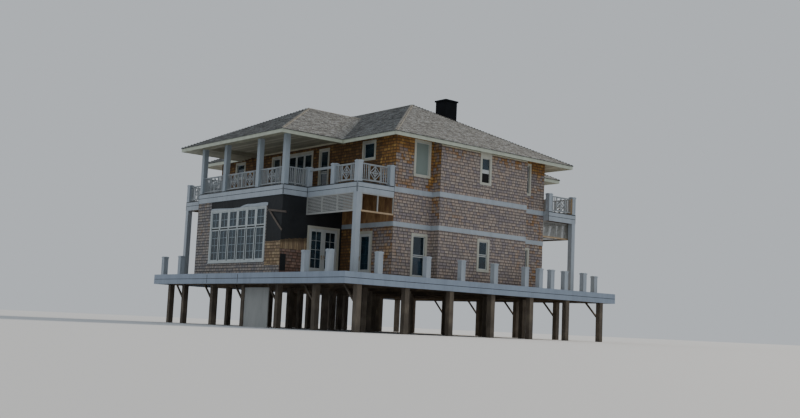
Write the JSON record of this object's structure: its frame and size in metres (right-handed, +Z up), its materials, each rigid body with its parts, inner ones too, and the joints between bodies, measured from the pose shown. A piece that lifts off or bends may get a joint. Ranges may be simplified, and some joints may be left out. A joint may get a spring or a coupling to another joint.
{
  "type": "two-storey beach house on piles",
  "caption": "Shingled two-storey beach house on timber piles, with crossed hipped roofs, porches, balconies and a deck all round.",
  "frame": {"origin": "centre of the middle pile's foot, on the ground under the middle of the house", "axes": "+Z up, +X to the right seen from the front, the front facing -Y"},
  "size_m": [22.24, 20.66, 14.805],
  "materials": {
    "pressure_treated_pine": "weathered",
    "white_trim": "painted",
    "cedar_shingle": "weathered",
    "floor_framing": "raw",
    "grey_louvre": "painted",
    "asphalt_shingle": "granular",
    "black_sheet_metal": "matt",
    "black_building_paper": "matt",
    "window_glass": "clear",
    "white_door": "painted"
  },
  "bodies": {
    "house": {"piles": "pressure_treated_pine", "girders": "pressure_treated_pine", "knee_braces": "pressure_treated_pine", "joists": "pressure_treated_pine", "main_floor": "pressure_treated_pine", "deck_edge": "white_trim", "deck_newels": "white_trim", "balcony_edge": "white_trim", "trim_bands": "white_trim", "porch_posts": "white_trim", "upper_columns": "white_trim", "porch_beams": "white_trim", "railings": "white_trim", "balcony_newels": "white_trim", "eave_boards": "white_trim", "window_frames": "white_trim", "window_wall_frames": "white_trim", "door_frames": "white_trim", "ceiling": "white_trim", "front_walls_lower": "cedar_shingle", "front_bay_lower": "cedar_shingle", "bay_cheeks": "cedar_shingle", "back_wall_lower": "cedar_shingle", "porch_side_walls": "cedar_shingle", "side_door_wall": "cedar_shingle", "french_door_wall": "cedar_shingle", "door_lintels": "cedar_shingle", "wing_end_walls": "cedar_shingle", "wing_side_walls": "cedar_shingle", "front_walls_upper": "cedar_shingle", "front_bay_upper": "cedar_shingle", "back_wall_upper": "cedar_shingle", "side_walls_upper": "cedar_shingle", "upper_floor": "floor_framing", "balcony_beams": "floor_framing", "porch_louvres": "grey_louvre", "breakaway_panel": "grey_louvre", "main_roof": "asphalt_shingle", "wing_roofs": "asphalt_shingle", "chimney": "black_sheet_metal", "chimney_cap": "black_sheet_metal", "window_wall_posts": "black_building_paper", "window_wall_glass": "window_glass", "window_glass_lower": "window_glass", "window_glass_upper": "window_glass"},
    "french_leaf_left": {"french_door_left": "white_door", "french_glass_left": "window_glass"},
    "french_leaf_right": {"french_door_right": "white_door", "french_glass_right": "window_glass"},
    "side_leaf": {"side_door": "white_door", "side_door_glass": "window_glass"}
  },
  "joints": [
    {"name": "french_door_left_hinge", "type": "hinge", "parent": "house", "child": "french_leaf_left", "pos_m": [-8.313, -4.511, 4], "axis": [0, 0, -1], "range_deg": [0, 95]},
    {"name": "french_door_right_hinge", "type": "hinge", "parent": "house", "child": "french_leaf_right", "pos_m": [-6.427, -4.511, 4], "axis": [0, 0, 1], "range_deg": [0, 95]},
    {"name": "side_door_hinge", "type": "hinge", "parent": "house", "child": "side_leaf", "pos_m": [-6.131, -7.113, 4], "axis": [0, 0, 1], "range_deg": [0, 95]}
  ]
}
